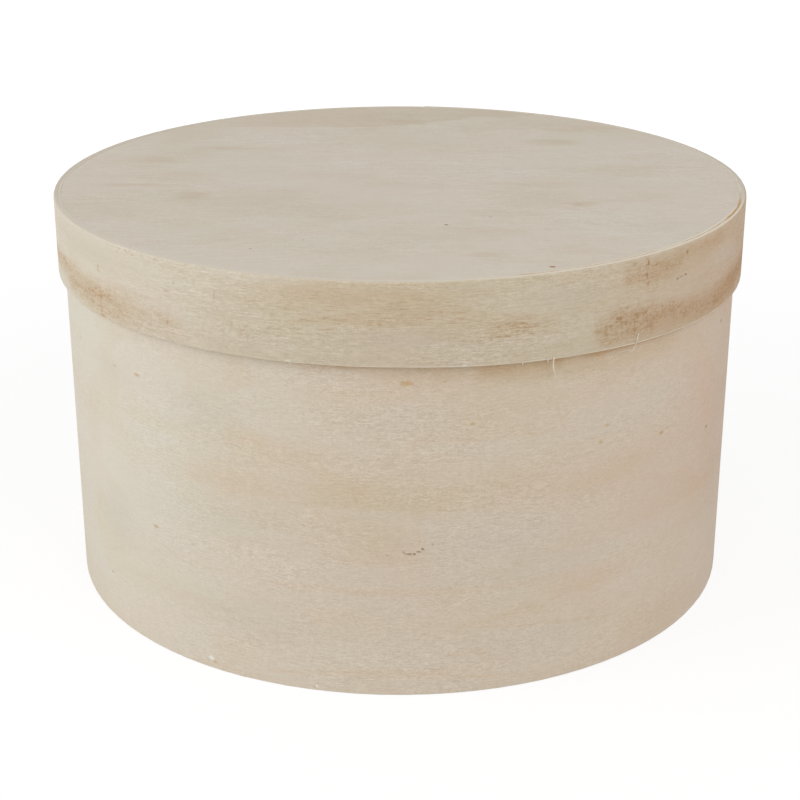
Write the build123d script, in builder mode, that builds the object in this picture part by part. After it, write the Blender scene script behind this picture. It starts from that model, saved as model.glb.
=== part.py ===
from build123d import *
import math
import os

# Round bentwood box with a lift-off lid, in millimetres.
# +Z is up, and the origin is the middle of the underside, on the table.
# The wall and the lid band are strips of thin plywood bent into hoops. Their ends are scarfed,
# lapped and glued. A round panel is glued into each hoop.

# Box
box_diameter = 294.2  # over the wall strip
wall_height = 170.0  # from the table to the rim that carries the lid
wall_thickness = 2.4
base_thickness = 3.0

# Lid
lid_gap = 0.5  # between the wall strip and the lid band, all round
lid_band_height = 33.0
lid_band_thickness = 2.4
lid_panel_thickness = 3.0
lid_rim_step = 0.2  # the band's top edge stands this much above the panel

# Scarfed laps, with angles in degrees from +X
wall_lap_length = 48.0
wall_seam_angle = 100.0
lid_lap_length = 42.0
lid_seam_angle = 77.0
scarf_nib = 0.3  # blunt thickness left at a scarfed end
seam_film = 0.12  # glue between the two lapped ends

# Glue lines round the panels
panel_glue_gap = 0.2
lid_glue_recess = 0.2  # below the top of the lid panel

# Sanded edges
wall_edge_break = 0.4
rim_round = 0.6  # outer edge of the wall's rim, eased so that the lid slips on
lid_edge_break = 0.4
lid_top_round = 0.8  # outer edge on the top of the lid
panel_edge_break = 0.25

# Radii and heights that follow
wall_outer_radius = box_diameter / 2
wall_inner_radius = wall_outer_radius - wall_thickness
base_radius = wall_inner_radius - panel_glue_gap
lid_inner_radius = wall_outer_radius + lid_gap
lid_outer_radius = lid_inner_radius + lid_band_thickness
lid_panel_radius = lid_inner_radius - panel_glue_gap
lid_panel_top = wall_height + lid_panel_thickness
lid_top = lid_panel_top + lid_rim_step
lid_bottom = lid_top - lid_band_height


def at_polar(radius, angle):
    return Vector(radius, 0).rotate(Axis.Z, angle)


def hoop_section(outer_radius, thickness, bottom, height, edge_break, top_round):
    # Upright section of a bent strip. Its top outer edge is round and its other edges are broken.
    with BuildSketch(Plane.XZ) as section:
        with Locations((outer_radius - thickness, bottom)):
            Rectangle(thickness, height, align=(Align.MIN, Align.MIN))
        chamfer(section.vertices().group_by(Axis.Y)[0], length=edge_break)
        chamfer(section.vertices().group_by(Axis.Y)[-1].sort_by(Axis.X)[0], length=edge_break)
        fillet(section.vertices().group_by(Axis.Y)[-1].sort_by(Axis.X)[-1], radius=top_round)
    return section.sketch


def scarf_film(outer_radius, thickness, seam_angle, lap_length):
    # Plan of the glue film in a scarfed lap. It runs from the outer face of the strip at one end
    # of the lap to the inner face at the other end, and past both faces by a film's thickness.
    inner_radius = outer_radius - thickness
    middle_radius = outer_radius - thickness / 2
    half_lap = math.degrees(lap_length / middle_radius) / 2
    film_angle = math.degrees(seam_film / middle_radius)
    outer_tip = seam_angle + half_lap
    inner_tip = seam_angle - half_lap
    past_outside = outer_radius + seam_film
    past_inside = inner_radius - seam_film
    with BuildSketch() as film:
        with BuildLine():
            outer_end = Polyline(
                at_polar(outer_radius - scarf_nib, outer_tip),
                at_polar(past_outside, outer_tip),
                at_polar(past_outside, outer_tip + film_angle),
                at_polar(outer_radius - scarf_nib - seam_film, outer_tip + film_angle),
            )
            inner_end = Polyline(
                at_polar(inner_radius + scarf_nib, inner_tip),
                at_polar(past_inside, inner_tip),
                at_polar(past_inside, inner_tip - film_angle),
                at_polar(inner_radius + scarf_nib + seam_film, inner_tip - film_angle),
            )
            film_middle = at_polar(middle_radius - seam_film / 2, seam_angle)
            ThreePointArc(outer_end @ 1, film_middle, inner_end @ 0)
            film_middle = at_polar(middle_radius + seam_film / 2, seam_angle)
            ThreePointArc(inner_end @ 1, film_middle, outer_end @ 0)
        make_face()
    return film.sketch


wall_section = hoop_section(
    wall_outer_radius, wall_thickness, 0, wall_height, wall_edge_break, rim_round
)
wall_film = scarf_film(wall_outer_radius, wall_thickness, wall_seam_angle, wall_lap_length)
lid_section = hoop_section(
    lid_outer_radius, lid_band_thickness, lid_bottom, lid_band_height, lid_edge_break, lid_top_round
)
lid_film = scarf_film(lid_outer_radius, lid_band_thickness, lid_seam_angle, lid_lap_length)

# Wall strip, bent round and opened at its scarf
with BuildPart() as wall_strip:
    revolve(wall_section, axis=Axis.Z)
    extrude(wall_film, amount=wall_height, mode=Mode.SUBTRACT)

# Glue in the wall's scarf
with BuildPart() as wall_seam_glue:
    revolve(wall_section, axis=Axis.Z)
    extrude(wall_film, amount=wall_height, mode=Mode.INTERSECT)

# Base panel, flush with the bottom of the wall
with BuildPart() as base_panel:
    with BuildSketch():
        Circle(base_radius)
    extrude(amount=base_thickness)
    chamfer(base_panel.edges().group_by(Axis.Z)[0], length=panel_edge_break)

# Glue round the base panel, above the wall's broken bottom edge
with BuildPart() as base_glue_line:
    with BuildSketch(Plane.XY.offset(wall_edge_break)):
        Circle(wall_inner_radius)
        Circle(base_radius, mode=Mode.SUBTRACT)
    extrude(amount=base_thickness - wall_edge_break)

# Lid band, bent round and opened at its scarf
with BuildPart() as lid_band:
    revolve(lid_section, axis=Axis.Z)
    extrude(lid_film, amount=lid_top, mode=Mode.SUBTRACT)

# Glue in the lid band's scarf
with BuildPart() as lid_seam_glue:
    revolve(lid_section, axis=Axis.Z)
    extrude(lid_film, amount=lid_top, mode=Mode.INTERSECT)

# Lid panel, resting on the rim of the wall
with BuildPart() as lid_panel:
    with BuildSketch(Plane.XY.offset(wall_height)):
        Circle(lid_panel_radius)
    extrude(amount=lid_panel_thickness)
    chamfer(lid_panel.edges().group_by(Axis.Z)[-1], length=panel_edge_break)

# Glue round the lid panel, a little below its top
with BuildPart() as lid_glue_line:
    with BuildSketch(Plane.XY.offset(wall_height)):
        Circle(lid_inner_radius)
        Circle(lid_panel_radius, mode=Mode.SUBTRACT)
    extrude(amount=lid_panel_thickness - lid_glue_recess)

pieces = {
    "wall_strip": wall_strip,
    "wall_seam_glue": wall_seam_glue,
    "base_panel": base_panel,
    "base_glue_line": base_glue_line,
    "lid_band": lid_band,
    "lid_seam_glue": lid_seam_glue,
    "lid_panel": lid_panel,
    "lid_glue_line": lid_glue_line,
}
os.makedirs("parts", exist_ok=True)
for name, piece in pieces.items():
    piece.part.label = name
    export_step(piece.part, f"parts/{name}.step")
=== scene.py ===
import bmesh
import bpy
import math
from mathutils import Matrix, Vector


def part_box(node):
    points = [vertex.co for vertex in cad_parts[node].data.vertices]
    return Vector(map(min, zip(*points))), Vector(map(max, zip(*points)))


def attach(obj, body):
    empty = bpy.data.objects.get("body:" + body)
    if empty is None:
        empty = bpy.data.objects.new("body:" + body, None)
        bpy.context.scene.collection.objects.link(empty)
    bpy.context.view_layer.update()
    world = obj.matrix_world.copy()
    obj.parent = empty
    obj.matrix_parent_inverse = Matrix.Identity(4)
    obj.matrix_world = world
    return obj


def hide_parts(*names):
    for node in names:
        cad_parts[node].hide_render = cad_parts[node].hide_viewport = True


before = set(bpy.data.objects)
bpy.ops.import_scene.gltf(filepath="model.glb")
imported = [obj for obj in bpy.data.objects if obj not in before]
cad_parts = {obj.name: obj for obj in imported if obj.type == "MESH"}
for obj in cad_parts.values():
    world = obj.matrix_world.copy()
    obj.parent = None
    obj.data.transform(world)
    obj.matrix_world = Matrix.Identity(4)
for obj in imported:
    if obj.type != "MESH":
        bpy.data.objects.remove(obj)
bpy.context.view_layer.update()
mm = 0.001
hair = 1e-6                       # what lies closer than this is at the same place
print("frame loaded:", ", ".join(sorted(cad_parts)))


# modelling by hand
def endEdit():
    bpy.ops.object.mode_set(mode="OBJECT")


def deselectAll():
    if bpy.context.mode != "OBJECT":
        endEdit()
    bpy.ops.object.select_all(action="DESELECT")


def makeActive(piece):
    deselectAll()
    bpy.context.view_layer.objects.active = piece
    piece.select_set(True)


def startEdit(piece, selectMode):
    makeActive(piece)
    bpy.ops.object.mode_set(mode="EDIT")
    bpy.ops.mesh.select_mode(type=selectMode)


def selectAll():
    bpy.ops.mesh.select_all(action="SELECT")


def pickVerts(piece, test):
    cage = bmesh.from_edit_mesh(piece.data)
    for vert in cage.verts:
        vert.select_set(test(vert.co))
    cage.select_flush_mode()
    bmesh.update_edit_mesh(piece.data)


def pickEdges(piece, test):
    cage = bmesh.from_edit_mesh(piece.data)
    for edge in cage.edges:
        edge.select_set(False)
    for edge in cage.edges:
        if test(edge.verts[0].co, edge.verts[1].co):
            edge.select_set(True)
    bmesh.update_edit_mesh(piece.data)


def applyModifier(piece, modifier):
    makeActive(piece)
    bpy.ops.object.modifier_apply(modifier=modifier.name)


def wander(piece, test, direction, amount, lump):   # uneven edge, as a hand saw leaves it
    group = piece.vertex_groups.new(name="wanderGroup")
    group.add([v.index for v in piece.data.vertices if test(v.co)], 1.0, "REPLACE")
    cloud = bpy.data.textures.new("wanderCloud", "CLOUDS")
    cloud.noise_scale = lump
    cloud.noise_depth = 2
    push = piece.modifiers.new("wander", "DISPLACE")
    push.texture = cloud
    push.texture_coords = "LOCAL"
    push.direction = direction
    push.mid_level = 0.5
    push.strength = amount
    push.vertex_group = group.name
    applyModifier(piece, push)
    piece.vertex_groups.clear()


def settle(piece, angle=35):      # place goes into the mesh, object back to the origin
    makeActive(piece)
    bpy.ops.object.transform_apply(location=True, rotation=True, scale=True)
    bpy.ops.object.shade_smooth_by_angle(angle=math.radians(angle))


# shader nodes
def srgb(tone):                   # 0 to 255, as in a picture, to the linear colour of a shader
    def toLinear(level):
        share = level / 255
        return share / 12.92 if share <= 0.04045 else ((share + 0.055) / 1.055) ** 2.4
    return (*map(toLinear, tone), 1.0)


def feed(tree, socket, value):
    if isinstance(value, bpy.types.NodeSocket):
        tree.links.new(value, socket)
    else:
        socket.default_value = value


def calc(tree, operation, first, second=0.0, clamp=False):
    node = tree.nodes.new("ShaderNodeMath")
    node.operation = operation
    node.use_clamp = clamp
    feed(tree, node.inputs[0], first)
    feed(tree, node.inputs[1], second)
    return node.outputs[0]


def times(tree, first, second):
    return calc(tree, "MULTIPLY", first, second)


def stronger(tree, total, mask):
    return mask if total is None else calc(tree, "MAXIMUM", total, mask)


def vectorCalc(tree, operation, first, second=(0, 0, 0)):
    node = tree.nodes.new("ShaderNodeVectorMath")
    node.operation = operation
    feed(tree, node.inputs[0], first)
    feed(tree, node.inputs[1], second)
    return node.outputs["Value" if operation in ("LENGTH", "DOT_PRODUCT") else "Vector"]


def objectPlace(tree):
    return tree.nodes.new("ShaderNodeTexCoord").outputs["Object"]


def axesOf(tree, place):
    axes = tree.nodes.new("ShaderNodeSeparateXYZ")
    feed(tree, axes.inputs[0], place)
    return axes.outputs


def remap(tree, value, fromLow, fromHigh, toLow=0.0, toHigh=1.0, smooth=True):
    node = tree.nodes.new("ShaderNodeMapRange")
    node.interpolation_type = "SMOOTHSTEP" if smooth else "LINEAR"
    for socket, given in zip(node.inputs, (value, fromLow, fromHigh, toLow, toHigh)):
        feed(tree, socket, given)
    return node.outputs[0]


def within(tree, mask, value, *limits):     # the mask, fading out along a value
    return times(tree, mask, remap(tree, value, *limits))


def mixColour(tree, amount, under, over, blend="MIX"):
    node = tree.nodes.new("ShaderNodeMix")
    node.data_type = "RGBA"
    node.blend_type = blend
    feed(tree, node.inputs[0], amount)
    feed(tree, node.inputs[6], under)
    feed(tree, node.inputs[7], over)
    return node.outputs[2]


def stainAndShade(tree, colour, amount, tint):      # darkens by multiplying, for stains and for painted shade alike; tint is what is left of each colour
    return mixColour(tree, amount, colour, (*tint, 1.0), "MULTIPLY")


def noise(tree, place, stretch, detail, roughness, shift=0.0, output=0):    # stretch is cycles per metre
    scaled = vectorCalc(tree, "MULTIPLY", place, stretch)
    moved = vectorCalc(tree, "ADD", scaled, (shift, shift * 0.37, shift * 0.71))
    node = tree.nodes.new("ShaderNodeTexNoise")
    node.inputs["Scale"].default_value = 1.0
    node.inputs["Detail"].default_value = detail
    node.inputs["Roughness"].default_value = roughness
    feed(tree, node.inputs["Vector"], moved)
    return node.outputs[output]


def ragged(tree, place, stretch, amount, shift=0.0):     # the same place with an uneven outline
    wave = noise(tree, place, stretch, 3.0, 0.6, shift, output=1)
    drift = vectorCalc(tree, "SUBTRACT", wave, (0.5, 0.5, 0.5))
    return vectorCalc(tree, "ADD", place, vectorCalc(tree, "MULTIPLY", drift, amount))


def gather(tree, place, marks, axes, core=0.0):   # marks: centre, half sizes (mm), strength
    total = None
    for across, up, acrossHalf, upHalf, strength in marks:
        centre, reach = [0.0, 0.0, 0.0], [1.0, 1.0, 1.0]
        centre[axes[0]], centre[axes[1]] = across * mm, up * mm
        reach[axes[0]], reach[axes[1]] = acrossHalf * mm, upHalf * mm
        away = vectorCalc(tree, "SUBTRACT", place, centre)
        share = vectorCalc(tree, "LENGTH", vectorCalc(tree, "DIVIDE", away, reach))
        mask = remap(tree, share, 1.0, core, 0.0, strength)
        total = stronger(tree, total, mask)
    return total


def trace(tree, place, lines, axes, core=0.0):     # lines: half width (mm), strength, points (mm)
    total = None
    for halfWidth, strength, points in lines:
        for first, second in zip(points, points[1:]):
            start, run = [0.0, 0.0, 0.0], [0.0, 0.0, 0.0]
            for axis, low, high in zip(axes, first, second):
                start[axis], run[axis] = low * mm, (high - low) * mm
            away = vectorCalc(tree, "SUBTRACT", place, start)
            share = vectorCalc(tree, "DOT_PRODUCT", away, run)
            share = calc(tree, "DIVIDE", share, Vector(run).length_squared, clamp=True)
            along = tree.nodes.new("ShaderNodeVectorMath")
            along.operation = "SCALE"
            along.inputs[0].default_value = run
            feed(tree, along.inputs["Scale"], share)
            gap = vectorCalc(tree, "LENGTH", vectorCalc(tree, "SUBTRACT", away, along.outputs["Vector"]))
            mask = remap(tree, gap, halfWidth * mm, core * halfWidth * mm, 0.0, strength)
            total = stronger(tree, total, mask)
    return total


shelfEdge = (-0.3 * mm, 0.5 * mm)    # lower edge of a growth line


# growth lines, sharp below: place, height, half length, fade upwards (mm), strength
def shelves(tree, place, marks):
    along, _, height = axesOf(tree, place)
    total = None
    for across, up, halfLong, fade, strength in marks:
        above = calc(tree, "SUBTRACT", height, up * mm)
        away = calc(tree, "ABSOLUTE", calc(tree, "SUBTRACT", along, across * mm))
        mask = times(tree, remap(tree, above, *shelfEdge), remap(tree, above, fade * mm, 0.0))
        ends = remap(tree, away, halfLong * mm, 0.3 * halfLong * mm, 0.0, strength)
        total = stronger(tree, total, times(tree, mask, ends))
    return total


def layGrain(tree, colour, lively, tint, layers):    # layers: pattern, amount
    for pattern, amount in layers:
        swing = remap(tree, pattern, 0.3, 0.7, -amount / 2, amount / 2, False)
        swing = calc(tree, "ADD", times(tree, swing, lively), amount / 2)
        colour = stainAndShade(tree, colour, swing, tint)
    return colour


def tinge(tree, colour, blush, amount, greenTint):   # faintly pink in places and greenish in others
    colour = stainAndShade(tree, colour, remap(tree, blush, 0.4, 0.65, 0, amount), (1.0, 0.7, 0.75))
    return stainAndShade(tree, colour, remap(tree, blush, 0.6, 0.35, 0, amount), greenTint)


def paint(tree, shader, colour, roughness):
    feed(tree, shader.inputs["Base Color"], colour)
    feed(tree, shader.inputs["Roughness"], roughness)


woodFinish = {"shine": 0.25, "bumpStrength": 0.6}


def finishWood(tree, shader, colour, roughness, relief, depth):
    paint(tree, shader, colour, roughness)
    shader.inputs["Specular IOR Level"].default_value = woodFinish["shine"]
    bump = tree.nodes.new("ShaderNodeBump")
    bump.inputs["Strength"].default_value = woodFinish["bumpStrength"]
    bump.inputs["Distance"].default_value = depth
    feed(tree, bump.inputs["Height"], relief)
    feed(tree, shader.inputs["Normal"], bump.outputs[0])


def newMaterial(name):
    material = bpy.data.materials.new(name)
    material.use_nodes = True
    return material, material.node_tree, material.node_tree.nodes["Principled BSDF"]


def dress(piece, material):
    piece.data.materials.clear()
    piece.data.materials.append(material)
    print("finish", material.name, "on", piece.name)


# strips of thin plywood: modelled flat, ends scarfed, then bent round
wallLow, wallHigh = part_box("wall_strip")
bandLow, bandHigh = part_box("lid_band")

stripSize = {                     # common to both strips
    "thickness": 2.4 * mm,
    "edgeRound": 0.4 * mm,
    "roundSteps": 3,
    "topRoundSteps": 5,
    "bendCuts": 100,              # the most that subdivide makes in one go
    "nib": 0.3 * mm,
    "glueFilm": 0.12 * mm,
    "lowerLump": 3 * mm,
    "upperLump": 5 * mm,
    "upperWander": 0.1 * mm,
}
wallStripSize = dict(
    stripSize,
    outerRadius=wallHigh.x,
    bottom=wallLow.z,
    height=wallHigh.z - wallLow.z,
    lap=48 * mm,
    seamTurn=10,                  # degrees, from the middle of the back
    topRound=0.6 * mm,
    lowerWander=0.25 * mm,
    drop=0.0,
)
lidBandSize = dict(
    stripSize,
    outerRadius=bandHigh.x,
    bottom=bandLow.z,
    height=bandHigh.z - bandLow.z,
    lap=42 * mm,
    seamTurn=-13,
    topRound=0.8 * mm,
    lowerWander=0.5 * mm,
    drop=2.2 * mm,                # lower edge not cut parallel, it falls towards the right
)


def bentStrip(name, size):
    thick, tall = size["thickness"], size["height"]
    middleRadius = size["outerRadius"] - thick / 2
    halfLong = math.pi * middleRadius + size["lap"] / 2
    halfThick = thick / 2
    deselectAll()
    bpy.ops.mesh.primitive_cube_add(size=1)
    strip = bpy.context.object
    strip.name = name
    startEdit(strip, "EDGE")
    selectAll()
    bpy.ops.transform.resize(value=(2 * halfLong, thick, tall))
    # the outer face is -Y: round its top edge, then the other three long edges
    pickEdges(strip, lambda a, b: abs(a.x - b.x) > halfLong and a.y < 0 and a.z > 0)
    bpy.ops.mesh.bevel(offset=size["topRound"], segments=size["topRoundSteps"], profile=0.5)
    pickEdges(strip, lambda a, b: abs(a.x - b.x) > halfLong
              and abs(abs(a.y) - halfThick) < hair and abs(abs(a.z) - tall / 2) < hair)
    bpy.ops.mesh.bevel(offset=size["edgeRound"], segments=size["roundSteps"], profile=0.5)
    pickEdges(strip, lambda a, b: abs(a.x - b.x) > halfLong)
    bpy.ops.mesh.subdivide(number_cuts=size["bendCuts"])
    # a cut where each scarf begins
    shoulder = halfLong - size["lap"]
    for cutAt in (shoulder, -shoulder):
        selectAll()
        bpy.ops.mesh.bisect(plane_co=(cutAt, 0, 0), plane_no=(1, 0, 0))
    endEdit()
    # the flat place of every point, so that the figure of the wood follows the strip
    flat = strip.data.attributes.new("stripPlace", "FLOAT_VECTOR", "POINT")
    for vertex in strip.data.vertices:
        flat.data[vertex.index].vector = vertex.co
    # scarf: the right end thins from inside, the left end from outside
    blunt = size["nib"] + size["glueFilm"]
    for vertex in strip.data.vertices:
        along = (abs(vertex.co.x) - shoulder) / size["lap"]
        if along < -10 * hair:
            continue
        left = thick - blunt + along * (size["nib"] - thick + blunt)
        share = left / thick
        if vertex.co.x > 0:
            vertex.co.y = -halfThick + (vertex.co.y + halfThick) * share
        else:
            vertex.co.y = halfThick - (halfThick - vertex.co.y) * share
    bend = strip.modifiers.new("bend", "SIMPLE_DEFORM")
    bend.deform_method = "BEND"
    bend.deform_axis = "Z"
    bend.angle = 2 * halfLong / middleRadius
    applyModifier(strip, bend)
    strip.data.transform(Matrix.Translation((0, -middleRadius, 0)))
    strip.rotation_euler.z = math.radians(size["seamTurn"])
    strip.location.z = size["bottom"] + tall / 2
    settle(strip)
    edge = size["edgeRound"] * 1.5        # takes in the whole rounding
    for vertex in strip.data.vertices:
        toRight = max(0.0, vertex.co.x / size["outerRadius"])
        if vertex.co.z < size["bottom"] + edge:
            vertex.co.z -= size["drop"] * toRight
    wander(strip, lambda co: co.z < size["bottom"] + edge, "Z", size["lowerWander"], size["lowerLump"])
    top = size["bottom"] + tall
    wander(strip, lambda co: co.z > top - edge, "Z", size["upperWander"], size["upperLump"])
    print("bent", name, len(strip.data.polygons), "faces")
    return strip


wallStrip = bentStrip("wallStrip", wallStripSize)
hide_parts("wall_strip")
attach(wallStrip, "box")

lidBand = bentStrip("lidBand", lidBandSize)
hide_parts("lid_band")
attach(lidBand, "lid")

# round panels of plywood
panelSize = {
    "rimPoints": 192,
    "edgeRound": 0.25 * mm,
    "roundSteps": 3,
}


def roundPanel(name, node, size):
    low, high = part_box(node)
    deselectAll()
    bpy.ops.mesh.primitive_circle_add(vertices=size["rimPoints"], radius=high.x, fill_type="NOTHING",
                                      location=(0, 0, low.z))
    panel = bpy.context.object
    panel.name = name
    startEdit(panel, "VERT")
    selectAll()
    bpy.ops.mesh.fill_grid(span=size["rimPoints"] // 4)
    selectAll()
    bpy.ops.mesh.extrude_region_move(TRANSFORM_OT_translate={"value": (0, 0, high.z - low.z)})
    selectAll()
    bpy.ops.mesh.normals_make_consistent(inside=False)
    endEdit()
    bpy.ops.object.transform_apply(location=True, rotation=True, scale=True)
    startEdit(panel, "EDGE")
    rim = high.x - 10 * hair
    pickEdges(panel, lambda a, b: a.xy.length > rim and b.xy.length > rim and abs(a.z - b.z) < hair)
    bpy.ops.mesh.bevel(offset=size["edgeRound"], segments=size["roundSteps"], profile=0.5)
    endEdit()
    settle(panel)
    print("panel", name, len(panel.data.polygons), "faces")
    return panel


lidPanel = roundPanel("lidPanel", "lid_panel", panelSize)
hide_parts("lid_panel")
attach(lidPanel, "lid")

basePanel = roundPanel("basePanel", "base_panel", panelSize)
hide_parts("base_panel")
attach(basePanel, "box")

# glue round the panels: a film in the gap with a low bead on top
glueSize = {                      # common to both rings
    "film": 0.11 * mm,            # half width of the film
    "sectionPoints": 16,
    "spread": 2.6,                # half width of the bead, by that of its three lowest points
    "turnSteps": 480,
    "lump": 7 * mm,
}
lidGlueSize = dict(
    glueSize,
    bead=0.34 * mm,               # half width of the bead
    beadHeight=0.16 * mm,         # and half its height
    rise=0.24 * mm,               # middle of the bead above the top of the CAD glue
    uneven=0.22 * mm,
)
baseGlueSize = dict(glueSize, bead=0.7 * mm, beadHeight=0.5 * mm, rise=0.05 * mm, uneven=0.3 * mm)


def glueRing(name, node, innerRadius, size):
    low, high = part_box(node)
    middle = (high.x + innerRadius) / 2
    deselectAll()
    bpy.ops.mesh.primitive_circle_add(vertices=size["sectionPoints"], radius=1, fill_type="NOTHING",
                                      location=(middle, 0, high.z + size["rise"]),
                                      rotation=(math.radians(90), 0, 0))
    ring = bpy.context.object
    ring.name = name
    bpy.ops.object.transform_apply(location=False, rotation=True, scale=True)
    startEdit(ring, "VERT")
    selectAll()
    bpy.ops.transform.resize(value=(size["bead"], 1, size["beadHeight"]))
    # the lowest points go down as the film
    pickVerts(ring, lambda co: co.z < -0.8 * size["beadHeight"])
    bpy.ops.transform.resize(value=(size["spread"] * size["film"] / size["bead"], 1, 1))
    bpy.ops.transform.translate(value=(0, 0, low.z - high.z))
    selectAll()
    bpy.ops.mesh.spin(steps=size["turnSteps"], angle=math.tau, center=(0, 0, 0), axis=(0, 0, 1))
    selectAll()
    bpy.ops.mesh.remove_doubles(threshold=hair)
    bpy.ops.mesh.normals_make_consistent(inside=False)
    endEdit()
    settle(ring, 60)
    crest = high.z + size["rise"] - 0.5 * size["beadHeight"]
    wander(ring, lambda co: co.z > crest, "NORMAL", size["uneven"], size["lump"])
    print("glue", name, len(ring.data.polygons), "faces")
    return ring


lidGlueBead = glueRing("lidGlueBead", "lid_glue_line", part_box("lid_panel")[1].x, lidGlueSize)
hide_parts("lid_glue_line")
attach(lidGlueBead, "lid")

baseGlueBead = glueRing("baseGlueBead", "base_glue_line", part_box("base_panel")[1].x, baseGlueSize)
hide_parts("base_glue_line")
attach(baseGlueBead, "box")

# fibres torn loose along the lower edge of the lid
fibreSize = {
    "out": 0.18 * mm,             # from the face of the band
    "taper": 0.6,                 # share of the radius lost at the tip
    "fibres": [                   # radius (mm), then degrees from the front and height (mm), point by point
        (0.38, [(22.5, 140.6), (22.45, 138.8), (22.45, 136.6), (22.65, 134.2), (22.95, 132.2)]),
        (0.24, [(21.5, 140.4), (21.55, 139.4), (21.7, 138.3)]),
        (0.22, [(37.5, 143.0), (37.3, 140.6), (37.0, 138.2), (36.6, 136.6), (36.0, 136.3), (35.5, 137.6)]),
        (0.20, [(17.6, 140.2), (17.65, 139.4), (17.7, 138.9)]),
        (0.22, [(-15.8, 140.6), (-15.6, 139.6), (-15.5, 138.8)]),
    ],
}


def looseFibres(name, size):
    radius = lidBandSize["outerRadius"] + size["out"]
    made = []
    for thick, points in size["fibres"]:
        deselectAll()
        bpy.ops.curve.primitive_nurbs_path_add()
        fibre = bpy.context.object
        line = fibre.data.splines[0]
        line.points.add(max(0, len(points) - len(line.points)))
        while len(line.points) > len(points):
            makeActive(fibre)
            bpy.ops.object.mode_set(mode="EDIT")
            bpy.ops.curve.select_all(action="DESELECT")
            fibre.data.splines[0].points[-1].select = True
            bpy.ops.curve.delete(type="VERT")
            endEdit()
            line = fibre.data.splines[0]
        for step, (turn, height) in enumerate(points):
            across = math.radians(turn)
            place = (radius * math.sin(across), -radius * math.cos(across), height * mm, 1)
            line.points[step].co = place
            line.points[step].radius = 1.0 - size["taper"] * step / (len(points) - 1)
        line.use_endpoint_u = True
        line.order_u = 3
        fibre.data.bevel_depth = thick * mm
        fibre.data.bevel_resolution = 2
        fibre.data.use_fill_caps = True
        makeActive(fibre)
        bpy.ops.object.convert(target="MESH")
        made.append(bpy.context.object)
    deselectAll()
    for fibre in made:
        fibre.select_set(True)
    bpy.context.view_layer.objects.active = made[0]
    bpy.ops.object.join()
    fibres = bpy.context.object
    fibres.name = name
    settle(fibres, 60)
    print("fibres", len(fibres.data.polygons), "faces")
    return fibres


edgeFibres = looseFibres("edgeFibres", fibreSize)
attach(edgeFibres, "lid")

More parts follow.
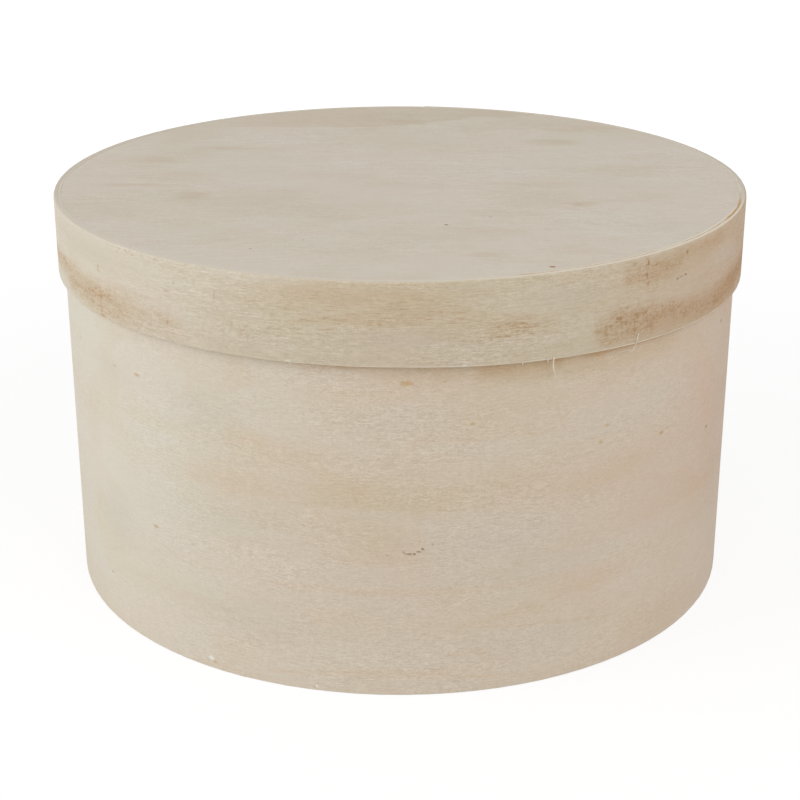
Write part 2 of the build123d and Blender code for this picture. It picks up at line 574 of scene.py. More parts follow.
# veneer of the strips
wallLook = {
    "left": (253, 249, 240),      # tone of the wood at left, front and right: partly its own drift, partly painted light, paler where the key light falls on the left and darker and pinker on the shaded right
    "front": (246, 234, 219),
    "right": (242, 222, 207),
    "bounceTone": (254, 246, 235),      # painted light: paler towards the table, as if lit by light bounced from it
    "bounceAmount": 0.6,
    "bounceHeight": 70 * mm,
    "drift": (24 * mm, 0, 9 * mm),     # wandering of the clouds' outlines
    "fray": (4 * mm, 0, 2 * mm),
    "rings": 26,                  # growth rings per metre up the strip
    "ringAmount": 0.12,
    "cloudTint": (0.90, 0.82, 0.66),
    "cloudAmount": 0.22,
    "streakAmount": 0.08,
    "grainTint": (0.71, 0.665, 0.575),
    "fibreLines": 0.18,
    "longGrain": 0.46,
    "shortGrain": 0.48,
    "crossAmount": 0.08,
    "fuzzAmount": 0.33,
    "grainLength": 1.5,           # 1 is long, more is shorter
    "rough": [(-15, 118, 70, 18, 1), (60, 96, 54, 18, 0.8), (0, 62, 60, 22, 0.6), (0, 14, 110, 20, 0.6),
              (-62, 118, 40, 16, 0.8), (60, 114, 40, 16, 0.8)],
    "calm": [(-140, 60, 60, 50, 0.5), (-135, 119, 50, 18, 0.5), (-90, 125, 60, 18, 0.4)],
    "pink": 0.06,
    "patches": [                  # soft tan clouds: place from the front, height, half sizes, strength
        (-74, 88, 44, 10, 0.6), (-44, 100, 36, 12, 0.7), (-20, 90, 36, 10, 1), (14, 87, 44, 9, 0.9),
        (44, 90, 48, 12, 0.7), (94, 88, 46, 11, 0.5), (-8, 69, 27, 14, 0.7), (77, 40, 34, 7, 0.8),
        (-33, 36, 36, 9, 0.4), (135, 10, 70, 14, 0.6), (-155, 90, 14, 28, 0.5), (-157, 50, 12, 16, 0.6),
        # the cloud at 110, 133, under the right of the lid, is painted shade
        (-20, 126, 28, 11, 0.4), (72, 60, 18, 16, 0.2), (30, 117, 30, 12, 0.4), (110, 133, 60, 9, 0.5),
    ],
    "traces": [                   # edges and lines of the figure
        (1.8, 0.35, [(-148, 30), (-132, 39), (-108, 45), (-60, 46)]),
        (1.8, 0.55, [(-60, 46), (0, 46.5), (60, 46), (98, 43)]),
        (3, 0.6, [(98, 43), (62, 36), (24, 29.5)]),
        (1.4, 0.5, [(24, 29.5), (60, 26), (110, 19), (165, 13)]),
        (1.6, 0.6, [(-55, 6), (-20, 10), (10, 10), (40, 6)]),
        (7, 0.8, [(-66, 105), (-45, 103), (-23, 91), (7, 82)]),
        (1.4, 0.4, [(-32, 79), (-31, 58)]), (0.9, 0.4, [(60, 100), (100, 98), (140, 94)]),
    ],
    "shelves": [                  # growth lines
        (-4, 80.5, 48, 26, 0.75), (74, 81.5, 50, 18, 0.6), (-70, 82, 40, 16, 0.5), (20, 45, 120, 5, 0.5),
        (-8, 8, 46, 6, 0.5), (112, 2, 70, 14, 0.5), (36, 108, 44, 18, 0.4), (-8, 58.5, 25, 22, 0.5),
        (-112, 100, 40, 12, 0.3), (130, 58, 50, 14, 0.35), (-90, 28, 50, 12, 0.3),
    ],
    "patchTint": (0.89, 0.73, 0.47),
    "patchAmount": 0.26,
    "browns": [                   # on the wall, painted shade under the lid, ragged: first the warm dark line just below its edge, then a wider patch at the far right
        (2.4, 0.4, [(-92, 141), (-66, 141)]), (2.8, 0.7, [(-66, 141), (-46, 140.9)]),
        (3.2, 1, [(-46, 140.9), (0, 140.6), (60, 139.8), (104, 139.2)]),
        (2.8, 0.7, [(104, 139.2), (126, 138.8)]), (2.4, 0.4, [(126, 138.8), (150, 138.4)]),
        (11, 0.5, [(176, 137), (204, 133)]),
    ],
    "shades": [                   # smooth shade under the lid
        (10, 0.13, [(-34, 140.4), (-14, 140.3)]), (11, 0.33, [(-8, 140.2), (8, 140.1)]),
        (12, 0.55, [(14, 140), (24, 139.8)]), (13, 1, [(33, 139.6), (42, 139.4)]),
        (13, 0.85, [(46, 139.3), (60, 138.9)]), (13, 0.58, [(64, 138.8), (80, 138.2)]),
        (13, 0.32, [(86, 138), (118, 137)]),
    ],
    "shadeTint": (0.84, 0.72, 0.57),
    "sideShade": 0.26,            # painted shade: a little darker at both sides, where the strip turns from the light
    # brown tint and amount colour the painted shade under the lid
    "brownTint": (0.84, 0.60, 0.34),
    "brownAmount": 0.5,
    "pales": [
        (-138, 50, 26, 18, 0.5), (-135, 119, 36, 12, 0.35), (40, 66, 46, 15, 0.6), (0, 117, 34, 13, 0.3),
        (104, 110, 50, 14, 0.4), (-70, 68, 46, 11, 0.3), (60, 52, 60, 12, 0.4), (-80, 114, 30, 14, 0.5),
        (56, 20, 44, 13, 0.4), (-62, 26, 44, 16, 0.4),
    ],
    "paleTone": (240, 233, 223),
    "scratches": [
        (0.5, 0.2, [(-22, 105), (-14, 77)]), (0.4, 0.16, [(-17, 101), (-11, 82)]),
        (0.4, 0.14, [(-8, 99), (-5, 84)]), (0.4, 0.3, [(-52, 82), (-36, 81.5)]),
        (0.4, 0.3, [(14, 81), (40, 80.6)]), (0.35, 0.25, [(64, 97), (84, 96.4)]),
        (0.5, 0.4, [(15.9, 18.2), (20.6, 17.9)]), (0.5, 0.4, [(29.5, 17), (34.3, 16.4)]),
        (0.5, 0.35, [(14.2, 11.1), (18.3, 11)]), (0.5, 0.4, [(31.4, 9.6), (36.9, 9.3)]),
    ],
    "flecks": [
        (2.4, 132.8, 4.2, 1.6, 0.75), (17, 133.5, 1.7, 0.8, 0.5), (27.4, 115.8, 1.7, 0.9, 0.9),
        (85, 106.5, 2, 0.9, 0.8), (82.4, 100, 1.8, 0.9, 0.8), (117, 95, 2, 1.2, 1),
        (-167, 121, 2, 1, 0.5), (-132, 119.5, 2, 1, 0.5), (-116, 120, 2.6, 1.1, 0.9),
        # the flecks at -79, 3.2 and -34.4, 1.4 are painted shadows beside the two chips
        (-109, 56, 2.4, 1.2, 0.9), (-88, 54.3, 1.6, 0.8, 0.6), (-79, 3.2, 2.2, 0.9, 0.7),
        (-34.4, 1.4, 1, 0.9, 0.6), (-155, 50, 1.3, 5, 0.22),
    ],
    "fleckTint": (0.84, 0.67, 0.42),
    "darkMarks": [
        (157, 84.5, 1.8, 1, 0.8), (168.6, 128, 1.5, 1.2, 0.7), (1.4, 63.3, 1, 0.9, 0.5),
        (3.4, 62.5, 2.2, 0.7, 0.7), (5.6, 62.4, 0.8, 0.7, 1), (7.2, 63.4, 1.4, 0.6, 0.8),
        (8.8, 64.6, 1, 0.7, 0.9), (12.6, 66.3, 0.7, 0.6, 0.4), (-5, 62, 1.2, 0.7, 0.3),
        (-146, 21, 1, 0.7, 0.6),
    ],
    "darkTint": (0.42, 0.34, 0.25),
    "chips": [(-81, 4.6, 1.8, 1.2, 1), (-33.5, 1.9, 0.8, 0.9, 0.9)],
    "chipTone": (244, 242, 236),
    "rimLeft": (228, 220, 204),   # top cut edge
    "rimRight": (228, 220, 204),
    "lowTone": (230, 221, 204),   # bottom cut edge: paler wood, and partly a painted highlight where the edge catches light from the table
    "lowAmount": 0.7,
    "bump": 0.03 * mm,
}
lidBandLook = {
    "left": (255, 251, 243),
    "front": (244, 235, 219),
    "right": (235, 214, 195),
    "drift": (12 * mm, 0, 4 * mm),
    "fray": (4 * mm, 0, 2 * mm),
    "rings": 60,
    "ringAmount": 0.12,
    "cloudTint": (0.86, 0.76, 0.58),
    "cloudAmount": 0.22,
    "streakAmount": 0.14,
    "grainTint": (0.68, 0.62, 0.50),
    "fibreLines": 0.30,
    "longGrain": 0.46,
    "shortGrain": 0.50,
    "crossAmount": 0.07,
    "fuzzAmount": 0.34,
    "grainLength": 1.1,
    "rough": [(-46, 152, 46, 16, 1), (38, 155, 26, 9, 0.8), (94, 148, 28, 13, 0.9), (4, 165, 50, 10, 0.8)],
    "calm": [(-140, 166, 84, 11, 0.75), (0, 151, 34, 7, 0.5), (66, 163, 24, 9, 0.4)],
    "pink": 0.05,
    "patches": [
        (-10, 167, 62, 9, 0.9), (4, 163, 40, 8, 0.6), (-38, 143, 20, 5, 0.3), (38, 155, 22, 6, 0.8),
        (140, 169, 44, 6, 0.5), (-60, 162, 26, 8, 0.3),
    ],
    "traces": [
        (4, 0.5, [(-52, 160), (-20, 166), (16, 163), (40, 156)]),
        (2, 0.4, [(100, 163), (130, 164), (160, 169)]),
    ],
    "shelves": [(-14, 157, 46, 14, 0.6), (34, 151, 34, 12, 0.5), (118, 163, 40, 9, 0.4)],
    "patchTint": (0.82, 0.67, 0.44),
    "patchAmount": 0.4,
    "browns": [
        (6.5, 0.66, [(-210, 151.5), (-188, 151.2)]), (10, 0.60, [(-188, 151.2), (-170, 151)]),
        (13, 0.60, [(-170, 150), (-150, 148), (-138, 147)]), (13, 0.46, [(-138, 147), (-116, 147)]),
        (12, 0.30, [(-116, 147), (-92, 146.5)]), (13, 0.66, [(84, 148), (104, 149)]),
        (9.5, 0.42, [(104, 147), (152, 146)]), (10, 0.50, [(152, 147), (206, 149.5)]),
        (8, 0.45, [(94, 168), (118, 168)]), (5, 0.36, [(118, 169.5), (152, 169)]),
    ],
    "brownTint": (0.78, 0.55, 0.33),
    "brownAmount": 0.18,
    "shades": [
        (6, 0.30, [(-205, 151.5), (-188, 151.2)]), (9, 0.34, [(-188, 151.2), (-170, 150.5)]),
        (12, 0.36, [(-168, 150), (-150, 148.5), (-138, 148)]), (12, 0.28, [(-136, 148), (-116, 147)]),
        (12, 0.16, [(-114, 147), (-92, 146.5)]), (12, 0.36, [(84, 147.5), (104, 147.5)]),
        (10, 0.50, [(106, 147), (132, 145.5), (152, 144.5)]),
        (10, 0.70, [(154, 145), (174, 147), (202, 150)]),
        (8, 0.22, [(94, 167), (120, 167)]), (6, 0.18, [(120, 169), (152, 169)]),
        (6, 0.22, [(-140, 144), (-112, 143.5)]),
    ],
    "shadeTint": (0.80, 0.66, 0.48),
    "sideShade": 0.2,
    "pales": [(0, 151, 40, 6, 0.6), (-150, 166, 60, 8, 0.4), (160, 161, 24, 7, 0.5), (66, 163, 24, 9, 0.5)],
    "paleTone": (237, 228, 216),
    "scratches": [
        (0.6, 0.4, [(101.6, 172), (102.2, 158)]), (0.6, 0.35, [(98, 158), (97, 141)]),
        (0.5, 0.45, [(32.4, 155.3), (36.2, 155.1)]), (0.5, 0.5, [(37.5, 156.3), (45.2, 156.1)]),
        (0.5, 0.5, [(39.5, 152.4), (47.3, 152.4)]), (0.5, 0.5, [(33.5, 151.2), (41.5, 150.8)]),
        (0.5, 0.4, [(51.2, 154.4), (53.2, 154.3)]), (0.5, 0.4, [(47.3, 151.5), (51.3, 151.5)]),
    ],
    "flecks": [
        (102, 170.5, 1, 1.8, 0.9), (101.5, 166, 0.8, 1.6, 0.7), (102.3, 162.5, 0.9, 1.3, 0.6),
        (125.6, 170, 1.2, 1.2, 0.8), (-137.6, 161, 0.9, 1.2, 0.6), (-7.6, 157, 1.4, 0.8, 0.5),
        (-72, 163, 0.7, 2.4, 0.4), (88.5, 151.7, 2.6, 1.2, 0.5), (90.8, 149.6, 3, 1.1, 0.5),
        (97.6, 151.7, 1.8, 1, 0.45), (101.2, 151.8, 2.4, 1, 0.5), (91.6, 155.1, 1.8, 0.9, 0.4),
        (78, 148, 3.4, 1.8, 0.3), (82.8, 146.1, 1.8, 1, 0.3), (84.3, 149.4, 1.6, 0.9, 0.4),
        (94.5, 171.3, 1.6, 1.4, 0.4), (-136, 141, 4, 1.2, 0.5), (-144, 145, 2.4, 1.4, 0.4),
        (-95, 147.8, 1, 1.8, 0.6), (-137.5, 159.6, 2.2, 0.8, 0.4),
        (-121, 172, 1.2, 0.6, 0.35), (-117, 172.2, 1.6, 0.5, 0.35), (-113, 171.2, 1.6, 0.6, 0.4),
        (-122.5, 170.8, 1, 0.6, 0.3), (-100, 172, 1.4, 0.6, 0.3), (-95, 160.7, 2.6, 0.5, 0.4),
        (-91, 164.5, 0.8, 1.2, 0.35), (-88.6, 162.3, 2, 0.5, 0.25),
    ],
    "fleckTint": (0.66, 0.44, 0.22),
    "darkMarks": [(120, 160.8, 1.3, 0.5, 0.8), (122.5, 161, 1.6, 0.3, 0.5), (125.4, 161.3, 1, 0.5, 0.9)],
    "darkTint": (0.25, 0.2, 0.15),
    "mottles": [                  # rough brown areas with dots, dashes along the grain and across it
        (-152, 147, 30, 11, 0.5), (-118, 147, 44, 13, 0.4), (-64, 150, 28, 14, 0.3), (-40, 163, 40, 9, 0.3),
        (45, 154, 20, 7, 0.5), (91, 149, 18, 11, 0.7), (102, 165, 18, 9, 0.45),
        (116, 150, 20, 6, 0.8), (128, 146, 24, 5, 0.75), (150, 146, 20, 6, 0.65), (172, 147.5, 16, 6, 0.6),
        (-122, 143, 24, 4, 0.5), (-138, 154, 10, 5, 0.4),
    ],
    "dashes": [(-30, 160, 40, 12, 0.8), (20, 162, 46, 11, 0.9), (44, 154, 30, 8, 1), (70, 166, 40, 8, 0.4)],
    "dashAmount": 0.55,
    "mottleTint": (0.70, 0.47, 0.25),
    "pits": 0.70,
    "dots": 0.72,
    "uprights": 0.35,
    "chips": [(24, 140.8, 1.2, 0.5, 0.6), (-42, 140.9, 2, 0.5, 0.6)],
    "chipTone": (240, 234, 222),
    "rimLeft": (219, 211, 197),
    "rimRight": (230, 221, 204),
    "wipedTone": (187, 141, 70),  # glue wiped over the top edge, far right
    "backRoundShadeTint": (0.80, 0.76, 0.68),     # painted shade on the rounded top edge towards the back, where it turns from the light
    "lowTone": (236, 227, 207),
    "lowAmount": 0.9,
    "bump": 0.05 * mm,
}
edgeReach = 0.5 * mm              # of the tone of a cut edge
ringWaver = 7.0                   # how many rings the drift moves
veneerNoise = {                   # cycles per metre along, through and up the strip, detail, roughness, shift
    "ringDrift": ((5, 900, 9), 3.0, 0.5, 2.7),
    "ringShown": ((12, 900, 20), 2.0, 0.5, 9.4),
    "coarseBreak": ((45, 900, 170), 4.0, 0.65, 1.9),
    "fineBreak": ((240, 900, 1500), 2.0, 0.6, 1.7),
    "blush": ((16, 900, 30), 3.0, 0.55, 6.6),
    "lively": ((18, 900, 45), 3.0, 0.6, 8.3),
    "cloud": ((11, 900, 26), 4.0, 0.55),
    "streak": ((10, 900, 260), 5.0, 0.6, 3.1),
    "fibreLines": ((70, 900, 1700), 2.0, 0.6, 2.9),
    "cross": ((900, 900, 70), 2.0, 0.5, 1.3),
    "fuzz": ((1700, 900, 1700), 1.0, 0.5, 5.9),
    "mottleBreak": ((90, 900, 130), 3.0, 0.6, 3.7),
    "pits": ((600, 900, 1700), 3.0, 0.7, 1.7),
    "dots": ((1050, 900, 1400), 3.0, 0.65, 9.2),
    "uprights": ((640, 900, 110), 2.0, 0.6, 6.3),
    "dashes": ((130, 900, 1900), 2.0, 0.6, 12.3),
    "lowBreak": ((60, 900, 60), 3.0, 0.6, 5.2),
}


def veneerMaterial(name, size, look):
    material, tree, shader = newMaterial(name)
    radius, thick = size["outerRadius"], size["thickness"]
    # place on the strip: x from the front, y through the thickness, z above the table
    flat = tree.nodes.new("ShaderNodeAttribute")
    flat.attribute_name = "stripPlace"
    front = math.radians(size["seamTurn"]) * radius
    place = vectorCalc(tree, "MULTIPLY", flat.outputs["Vector"], (radius / (radius - thick / 2), 1, 1))
    place = vectorCalc(tree, "ADD", place, (front, 0, size["bottom"] + size["height"] / 2))
    along, deep, up = axesOf(tree, place)
    face = vectorCalc(tree, "MULTIPLY", place, (1, 0, 1))
    outside = remap(tree, deep, -0.2 * thick, -0.45 * thick)

    def onFace(mask, amount=1.0):
        return times(tree, times(tree, mask, outside), amount)

    def pattern(key):
        return noise(tree, place, *veneerNoise[key])

    def spots(where, key, core=0.0):
        return gather(tree, where, look[key], (0, 2), core)

    def lines(where, key, core=0.0):
        return trace(tree, where, look[key], (0, 2), core)

    def darken(amount, tint):     # on the colour so far, as is cover
        return stainAndShade(tree, colour, amount, look[tint])

    def cover(amount, tone):
        return mixColour(tree, amount, colour, srgb(look[tone]))

    # the tone drifts from left to right: partly the wood's own, partly painted light, paler on the lit left
    # and darker and pinker on the shaded right
    side = calc(tree, "SINE", calc(tree, "DIVIDE", along, radius))
    toRight = remap(tree, side, 0.3, 1.0)
    colour = mixColour(tree, remap(tree, side, -0.95, 0.05), srgb(look["left"]), srgb(look["front"]))
    colour = cover(toRight, "right")
    # painted light: the wall turns paler towards the table, standing in for light bounced up from it
    if "bounceTone" in look:
        paintedBounceLight = remap(tree, up, look["bounceHeight"], 0, 0, look["bounceAmount"])
        colour = cover(paintedBounceLight, "bounceTone")
    # growth rings, each fading in upwards and ending sharply
    drift = pattern("ringDrift")
    phase = times(tree, up, look["rings"])
    ring = calc(tree, "FRACT", calc(tree, "ADD", phase, times(tree, drift, ringWaver)))
    ring = times(tree, remap(tree, ring, 0.1, 0.95), remap(tree, ring, 1.0, 0.96))
    ring = within(tree, ring, pattern("ringShown"), 0.4, 0.65)
    colour = darken(times(tree, ring, look["ringAmount"]), "patchTint")
    # listed clouds, with drifting outlines
    broad = ragged(tree, face, (14, 0, 30), look["drift"])
    loose = ragged(tree, broad, (60, 0, 120), look["fray"], 2.2)
    near = ragged(tree, face, (40, 0, 90), (9 * mm, 0, 3 * mm), 4.8)
    bowed = ragged(tree, face, (9, 0, 12), (0, 0, 9 * mm), 3.6)
    bowed = ragged(tree, bowed, (60, 0, 200), (0, 0, 1.4 * mm), 7.2)
    colour = cover(onFace(spots(broad, "pales")), "paleTone")
    tan = stronger(tree, spots(loose, "patches"), lines(near, "traces"))
    tan = stronger(tree, tan, shelves(tree, bowed, look["shelves"]))
    colour = darken(onFace(tan, look["patchAmount"]), "patchTint")
    # brown stain on the lid band, and painted shade under the lid on the wall, both broken up in places
    breakUp = times(tree, pattern("coarseBreak"), 1.6)
    breakUp = calc(tree, "ADD", breakUp, times(tree, pattern("fineBreak"), 0.8))
    brown = calc(tree, "ADD", lines(loose, "browns", 0.2), calc(tree, "SUBTRACT", breakUp, 1.2))
    brown = onFace(remap(tree, brown, 0.15, 1.1))
    # smooth traces: on the wall painted shade under the lid, on the lid band smooth brown areas of the wood
    colour = darken(onFace(lines(near, "shades")), "shadeTint")
    # painted shade at both sides, where the strip turns away from the light
    atSide = remap(tree, calc(tree, "ABSOLUTE", side), 0.8, 1.0, 0, look["sideShade"])
    colour = stainAndShade(tree, colour, atSide, (0.8, 0.8, 0.82))
    # brown: on the wall painted shade under the lid, on the lid band a brown stain
    colour = darken(times(tree, brown, look["brownAmount"]), "brownTint")
    colour = tinge(tree, colour, pattern("blush"), look["pink"], (0.75, 0.9, 0.8))
    # figure and grain, which comes and goes
    lively = remap(tree, pattern("lively"), 0.35, 0.65, 0.42, 0.95)
    lively = stronger(tree, lively, spots(loose, "rough"))
    lively = within(tree, lively, calc(tree, "ABSOLUTE", side), 0.3, 0.9, 1.0, 0.55)
    lively = times(tree, lively, calc(tree, "SUBTRACT", 1.0, spots(loose, "calm")))
    cloud = remap(tree, pattern("cloud"), 0.48, 0.72, 0, look["cloudAmount"])
    colour = darken(cloud, "cloudTint")
    streak = pattern("streak")
    colour = darken(remap(tree, streak, 0.35, 0.75, 0, look["streakAmount"]), "cloudTint")
    short = look["grainLength"]
    fibreLines = pattern("fibreLines")
    longGrain = noise(tree, place, (170 * short, 900, 1800), 2.0, 0.6, 7.7)
    shortGrain = noise(tree, place, (520 * short, 900, 2100), 1.0, 0.5, 4.4)
    cross = pattern("cross")
    fuzz = pattern("fuzz")
    colour = layGrain(tree, colour, lively, look["grainTint"], (
        (fibreLines, look["fibreLines"]), (longGrain, look["longGrain"]), (shortGrain, look["shortGrain"]),
        (cross, look["crossAmount"]), (fuzz, look["fuzzAmount"])))
    # rough mottled areas
    if "mottles" in look:
        area = onFace(spots(loose, "mottles"))
        area = within(tree, area, pattern("mottleBreak"), 0.35, 0.62, 0.3, 1.0)
        area = stronger(tree, area, brown)
        for key, bare, full in (("pits", 0.45, 0.62), ("dots", 0.54, 0.66), ("uprights", 0.53, 0.68)):
            marks = remap(tree, pattern(key), bare, full, 0, look[key])
            colour = darken(times(tree, marks, area), "mottleTint")
        dashes = remap(tree, pattern("dashes"), 0.56, 0.70, 0, look["dashAmount"])
        dashes = onFace(times(tree, dashes, spots(loose, "dashes")))
        colour = darken(dashes, "mottleTint")
    scratch = times(tree, lines(near, "scratches"), remap(tree, shortGrain, 0.4, 0.55))
    colour = darken(onFace(scratch), "fleckTint")
    # cut edges, with the lines between the plies
    ply = calc(tree, "ABSOLUTE", calc(tree, "SUBTRACT", calc(tree, "ABSOLUTE", deep), thick / 6))
    ply = times(tree, remap(tree, ply, 0.12 * mm, 0.03 * mm), remap(tree, streak, 0.4, 0.6, 0.05, 0.4))
    ahead = calc(tree, "COSINE", calc(tree, "DIVIDE", along, radius))
    frontRight = times(tree, remap(tree, side, -0.2, 0.55), remap(tree, ahead, 0.15, 0.5))
    rim = mixColour(tree, frontRight, srgb(look["rimLeft"]), srgb(look["rimRight"]))
    rim = stainAndShade(tree, rim, ply, look["fleckTint"])
    if "wipedTone" in look:
        wiped = times(tree, remap(tree, deep, 0.2 * mm, 0.6 * mm), remap(tree, side, 0.87, 0.92))
        wiped = within(tree, wiped, ahead, 0.2, 0.3)
        rim = mixColour(tree, wiped, rim, srgb(look["wipedTone"]))
    fromTop = calc(tree, "SUBTRACT", size["bottom"] + size["height"], up)
    colour = mixColour(tree, remap(tree, fromTop, 0.2 * edgeReach, 0.04 * edgeReach), colour, rim)
    # painted shade on the rounded top edge towards the back
    if "backRoundShadeTint" in look:
        backRoundShade = remap(tree, fromTop, 1.2 * mm, 0.4 * mm)
        backRoundShade = within(tree, backRoundShade, ahead, 0.35, 0.1, 0, 0.4)
        colour = darken(backRoundShade, "backRoundShadeTint")
    # pale bottom cut edge: the paler wood of the cut, and partly a painted highlight where it catches light
    # from the table
    lowEdge = stainAndShade(tree, srgb(look["lowTone"]), ply, look["fleckTint"])
    broken = remap(tree, pattern("lowBreak"), 0.35, 0.6, 0.25, 1.0)
    broken = within(tree, broken, side, -0.7, 0.1, 0.15 * look["lowAmount"], look["lowAmount"])
    fromLow = calc(tree, "SUBTRACT", up, size["bottom"])
    broken = times(tree, remap(tree, fromLow, 1.4 * edgeReach, 0.5 * edgeReach), broken)
    colour = mixColour(tree, broken, colour, lowEdge)
    # flecks, dark marks and chips
    fine = ragged(tree, face, (700, 0, 900), (0.9 * mm, 0, 0.8 * mm))
    colour = darken(onFace(spots(fine, "flecks", 0.1)), "fleckTint")
    colour = darken(onFace(spots(fine, "darkMarks", 0.2)), "darkTint")
    colour = cover(onFace(spots(fine, "chips", 0.5)), "chipTone")
    roughness = remap(tree, longGrain, 0.3, 0.75, 0.68, 0.86)
    relief = calc(tree, "ADD", times(tree, shortGrain, 0.5), times(tree, fuzz, 0.4))
    relief = times(tree, calc(tree, "ADD", relief, times(tree, longGrain, 0.4)), lively)
    finishWood(tree, shader, colour, roughness, relief, look["bump"])
    return material


dress(wallStrip, veneerMaterial("wallVeneer", wallStripSize, wallLook))
dress(lidBand, veneerMaterial("lidVeneer", lidBandSize, lidBandLook))

# pale torn wood of the fibres
fibreLook = {"pale": (240, 235, 224), "dull": (226, 214, 194)}


def fibreMaterial(name, look):
    material, tree, shader = newMaterial(name)
    place = objectPlace(tree)
    mottle = noise(tree, place, (900, 900, 500), 2.0, 0.5)
    colour = mixColour(tree, remap(tree, mottle, 0.35, 0.65), srgb(look["pale"]), srgb(look["dull"]))
    paint(tree, shader, colour, remap(tree, mottle, 0.3, 0.7, 0.7, 0.9))
    return material


dress(edgeFibres, fibreMaterial("fibreWood", fibreLook))

# plywood of the panels, grain along x
lidPanelLook = {
    "base": (224, 218, 207),
    "rise": 30 * mm,              # of the back strip's front edge towards the right
    "fray": 40 * mm,              # and its splitting into streaks there
    "patches": [                  # x, y, half sizes, strength
        (60, -30, 34, 30, 0.7), (50, -56, 22, 14, 0.6), (76, -42, 7, 5, 0.9), (74, 72, 18, 13, 0.7),
        (-87, 54, 18, 10, 0.5), (-110, 36, 20, 10, 0.5), (-100, 4, 26, 14, 0.5), (-117, -11, 22, 4, 0.6),
        (-90, -30, 12, 9, 0.7), (31, -115, 10, 5, 0.5), (70, -112, 24, 9, 0.6), (108, -32, 14, 7, 0.5),
        (-104, 88, 34, 26, 0.7), (100, 96, 40, 22, 0.5), (-10, -88, 36, 8, 0.4), (-60, -96, 30, 8, 0.3),
    ],
    "backs": [(-8, 101, 130, 130, 1)],      # sharp in front: x, y, half length, fade, strength
    "backAmount": 0.30,
    "smudges": [
        (76.7, -41.9, 8, 5, 1), (96, -37, 18, 3, 0.4), (-117, -11, 20, 3, 0.6), (-96, 30, 14, 3, 0.5),
        (-72, 56, 26, 3, 0.5), (-88, -28, 11, 8, 0.5), (72, 69, 20, 9, 0.7), (35, -56, 12, 9, 0.4),
        (33, -115, 10, 5, 0.5), (67, -103, 14, 5, 0.3), (63, -10, 24, 8, 0.4), (4, 114, 14, 6, 0.8),
    ],
    "smudgeAmount": 0.30,
    "patchTint": (0.80, 0.67, 0.50),
    "patchAmount": 0.30,
    "pales": [
        (-25, -37, 40, 24, 0.5), (50, 5, 34, 14, 0.5), (70, 25, 26, 12, 0.5), (100, -70, 44, 22, 0.5),
        (-60, 78, 44, 20, 0.4), (-45, -10, 60, 40, 0.5),
    ],
    "paleTone": (224, 217, 208),
    "specks": [
        (18.6, -73.6, 1.2, 1.2, 0.9), (37, -62, 0.8, 0.8, 0.5), (-37.7, -95, 0.8, 0.8, 0.6),
        (-57.3, -107.1, 0.8, 0.9, 0.6), (56.6, -130.4, 1.8, 1.4, 1), (-4, 28, 0.8, 0.8, 0.3),
    ],
    "speckTint": (0.5, 0.3, 0.16),
    "pink": 0.06,
    "grainTint": (0.80, 0.70, 0.56),
    "cloudAmount": 0.24,
    "streakAmount": 0.17,
    "grainAmount": 0.26,
    "fuzzAmount": 0.26,
    "rimTone": (234, 227, 213),   # inner side of the glue line, front right
    "smearTone": (218, 178, 126),          # glue wiped over the edge there
    "bump": 0.04 * mm,
}
basePanelLook = dict(
    lidPanelLook,
    patches=[(40, 30, 60, 30, 0.5), (-60, -50, 70, 24, 0.6)],
    backs=[(60, 70, 90, 40, 0.6)],
    smudges=[(-20, 60, 30, 5, 0.5), (50, -90, 24, 4, 0.5)],
    pales=[(0, 80, 60, 20, 0.4)],
    specks=[(30, -20, 1.2, 1, 0.7), (-70, 40, 0.9, 0.9, 0.6)],
)
plyNoise = {                      # as in veneerNoise, along the grain, across it and through it
    "backEdge": ((14, 18, 0), 3.0, 0.6, 5.1),
    "backSplit": ((24, 230, 0), 3.0, 0.65, 9.9),
    "blush": ((14, 22, 300), 3.0, 0.55, 6.6),
    "cloud": ((12, 22, 500), 4.0, 0.55),
    "lively": ((16, 30, 500), 3.0, 0.6, 8.3),
    "streak": ((26, 190, 800), 4.0, 0.6, 3.1),
    "grain": ((150, 620, 1400), 2.0, 0.6, 7.7),
    "fuzz": ((900, 700, 1400), 1.0, 0.5, 5.9),
    "smear": ((160, 160, 160), 3.0, 0.6, 4.1),
}


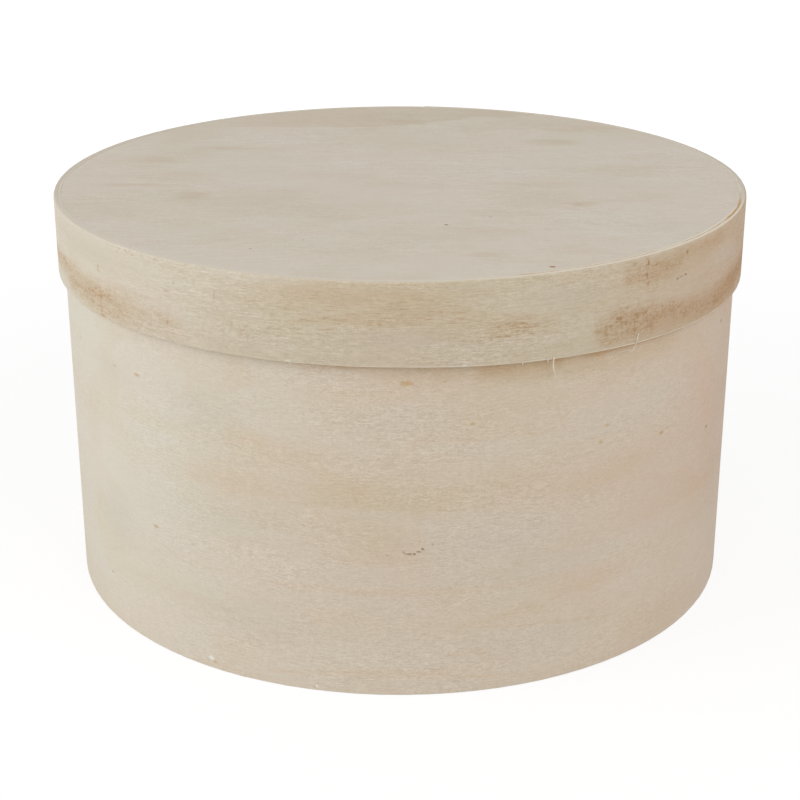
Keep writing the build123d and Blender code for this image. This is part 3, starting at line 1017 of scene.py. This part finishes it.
def plyMaterial(name, node, look):
    material, tree, shader = newMaterial(name)
    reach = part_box(node)[1].x
    place = objectPlace(tree)
    face = vectorCalc(tree, "MULTIPLY", place, (1, 1, 0))
    right, back, _ = axesOf(tree, place)

    def pattern(key, where=place):
        return noise(tree, where, *plyNoise[key])

    def spots(where, key, core=0.0):
        return gather(tree, where, look[key], (0, 1), core)

    colour = srgb(look["base"])
    loose = ragged(tree, face, (16, 26, 0), (36 * mm, 22 * mm, 0))
    loose = ragged(tree, loose, (70, 110, 0), (8 * mm, 5 * mm, 0), 2.2)
    near = ragged(tree, face, (30, 90, 0), (5 * mm, 3 * mm, 0), 3.3)
    # place seen from the back strip: its front edge rises to the right
    rise = remap(tree, right, -20 * mm, 75 * mm, 0, look["rise"])
    uneven = times(tree, calc(tree, "SUBTRACT", pattern("backEdge", face), 0.5), 9 * mm)
    split = calc(tree, "SUBTRACT", pattern("backSplit", face), 0.5)
    split = within(tree, split, right, -25 * mm, 45 * mm, 2 * mm, look["fray"])
    uneven = calc(tree, "ADD", uneven, split)
    behind = tree.nodes.new("ShaderNodeCombineXYZ")
    feed(tree, behind.inputs["X"], right)
    feed(tree, behind.inputs["Z"], calc(tree, "SUBTRACT", calc(tree, "ADD", back, uneven), rise))
    colour = mixColour(tree, spots(loose, "pales"), colour, srgb(look["paleTone"]))
    for mask, amount in (
            (spots(loose, "patches"), look["patchAmount"]),
            (spots(near, "smudges", 0.3), look["smudgeAmount"]),
            (shelves(tree, behind.outputs[0], look["backs"]), look["backAmount"])):
        colour = stainAndShade(tree, colour, times(tree, mask, amount), look["patchTint"])
    colour = tinge(tree, colour, pattern("blush"), look["pink"], (0.78, 0.9, 0.8))
    cloud = remap(tree, pattern("cloud"), 0.45, 0.72, 0, look["cloudAmount"])
    colour = stainAndShade(tree, colour, cloud, look["grainTint"])
    lively = remap(tree, pattern("lively"), 0.35, 0.65, 0.3, 1.0)
    streak = pattern("streak")
    grain = pattern("grain")
    fuzz = pattern("fuzz")
    colour = layGrain(tree, colour, lively, look["grainTint"], (
        (streak, look["streakAmount"]), (grain, look["grainAmount"]), (fuzz, look["fuzzAmount"])))
    fine = ragged(tree, face, (700, 900, 0), (0.6 * mm, 0.6 * mm, 0))
    colour = stainAndShade(tree, colour, spots(fine, "specks", 0.3), look["speckTint"])
    # pale edge beside the glue, front right, and glue wiped over it
    fromRim = calc(tree, "SUBTRACT", reach, vectorCalc(tree, "LENGTH", face))
    frontRight = remap(tree, right, -0.2 * reach, 0.5 * reach)
    frontRight = within(tree, frontRight, back, -0.2 * reach, -0.5 * reach)
    pale = times(tree, remap(tree, fromRim, 1.4 * mm, 0.8 * mm), frontRight)
    colour = mixColour(tree, pale, colour, srgb(look["rimTone"]))
    smear = remap(tree, fromRim, 1.0 * mm, 0.5 * mm)
    smear = within(tree, smear, right, 0.08 * reach, 0.3 * reach)
    smear = within(tree, smear, right, 0.8 * reach, 0.6 * reach)
    smear = within(tree, smear, back, 0, -0.3 * reach)
    smear = within(tree, smear, pattern("smear"), 0.4, 0.6, 0.2, 0.8)
    colour = mixColour(tree, smear, colour, srgb(look["smearTone"]))
    roughness = remap(tree, grain, 0.3, 0.75, 0.66, 0.84)
    relief = calc(tree, "ADD", times(tree, grain, 0.6), times(tree, fuzz, 0.5))
    finishWood(tree, shader, colour, roughness, relief, look["bump"])
    return material


dress(lidPanel, plyMaterial("lidPly", "lid_panel", lidPanelLook))
dress(basePanel, plyMaterial("basePly", "base_panel", basePanelLook))

# cured glue in the seams and round the panels
glueLook = {
    "pale": (217, 207, 191),
    "amber": (192, 145, 74),
    "amberRight": (0, 60 * mm),   # where the amber comes in, towards the right and the front
    "amberFront": (-15 * mm, -40 * mm),
}


def glueMaterial(name, look):
    material, tree, shader = newMaterial(name)
    place = objectPlace(tree)
    right, back, _ = axesOf(tree, place)
    amber = remap(tree, right, *look["amberRight"])
    amber = within(tree, amber, back, *look["amberFront"])
    drift = noise(tree, place, (60, 60, 60), 3.0, 0.6)
    amber = within(tree, amber, drift, 0.35, 0.65, 0.4, 1.0)
    colour = mixColour(tree, amber, srgb(look["pale"]), srgb(look["amber"]))
    paint(tree, shader, colour, remap(tree, drift, 0.3, 0.7, 0.35, 0.6))
    return material


curedGlue = glueMaterial("curedGlue", glueLook)
seamFilms = [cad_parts[node] for node in ("wall_seam_glue", "lid_seam_glue")]
for gluePiece in (lidGlueBead, baseGlueBead, *seamFilms):
    dress(gluePiece, curedGlue)

# camera at the photograph's angle, image taken as square
cameraPlace = {
    "lens": 79.55,
    "sensor": 36,
    "back": 759.0 * mm,
    "height": 367.7 * mm,
    "down": 21.52,                # degrees below level
    "nearest": 0.01,
}
bpy.ops.object.camera_add(location=(0, -cameraPlace["back"], cameraPlace["height"]))
camera = bpy.context.object
camera.rotation_euler = (math.radians(90 - cameraPlace["down"]), 0, 0)
camera.data.sensor_width = cameraPlace["sensor"]
camera.data.lens = cameraPlace["lens"]
camera.data.clip_start = cameraPlace["nearest"]
bpy.context.scene.camera = camera

# studio
studio = {
    "worldLevel": 0.55,
    "lightAim": (0, 0, 0.08),
    "lightSize": 1.4,
    "keyPlace": (-1.65, -0.5, 0.9),
    "keyPower": 12.3,
    "fillPlace": (1.06, -1.06, 1.2),
    "fillPower": 8.6,
    "floorSize": 8,
    "floorDrop": 0.1 * mm,        # below the underside of the box
    "floorAlbedo": 0.8,
    "floorGlow": 0.8,             # what the camera sees of the floor without light, near the box
    "farGlow": 0.9,               # and away from it
    "glowReach": (0.35, 0.9),     # from the middle of the box
    "floorCatch": 0.25,           # and what it sees of the light and the shadow on it
}
world = bpy.data.worlds.new("studioWorld")
bpy.context.scene.world = world
world.use_nodes = True
sky = world.node_tree


def seenStraight(tree):           # 1 for rays that should meet a white studio
    path = tree.nodes.new("ShaderNodeLightPath")
    seen = stronger(tree, path.outputs["Is Camera Ray"], path.outputs["Is Glossy Ray"])
    return stronger(tree, seen, path.outputs["Is Transmission Ray"])


sky.nodes["Background"].inputs["Color"].default_value = (1, 1, 1, 1)
level = remap(sky, seenStraight(sky), 0, 1, studio["worldLevel"], 1, False)
feed(sky, sky.nodes["Background"].inputs["Strength"], level)


def softLight(name, place, power):
    bpy.ops.object.light_add(type="AREA", location=place)
    lamp = bpy.context.object
    lamp.name = name
    lamp.data.energy = power
    lamp.data.size = studio["lightSize"]
    direction = lamp.location - Vector(studio["lightAim"])
    lamp.rotation_euler = direction.to_track_quat("Z", "Y").to_euler()


softLight("keyLight", studio["keyPlace"], studio["keyPower"])
softLight("fillLight", studio["fillPlace"], studio["fillPower"])

deselectAll()
bpy.ops.mesh.primitive_plane_add(size=studio["floorSize"], location=(0, 0, -studio["floorDrop"]))
floor = bpy.context.object
floor.name = "floor"
material, tree, shader = newMaterial("floorWhite")
shader.inputs["Roughness"].default_value = 1
shader.inputs["Specular IOR Level"].default_value = 0
seen = seenStraight(tree)
albedo = remap(tree, seen, 0, 1, studio["floorAlbedo"], studio["floorCatch"], False)
feed(tree, shader.inputs["Base Color"], albedo)
shader.inputs["Emission Color"].default_value = (1, 1, 1, 1)
away = vectorCalc(tree, "LENGTH", objectPlace(tree))
glow = remap(tree, away, *studio["glowReach"], studio["floorGlow"], studio["farGlow"])
feed(tree, shader.inputs["Emission Strength"], times(tree, seen, glow))
dress(floor, material)
print("camera and studio set")

bpy.context.scene.view_settings.view_transform = "Standard"
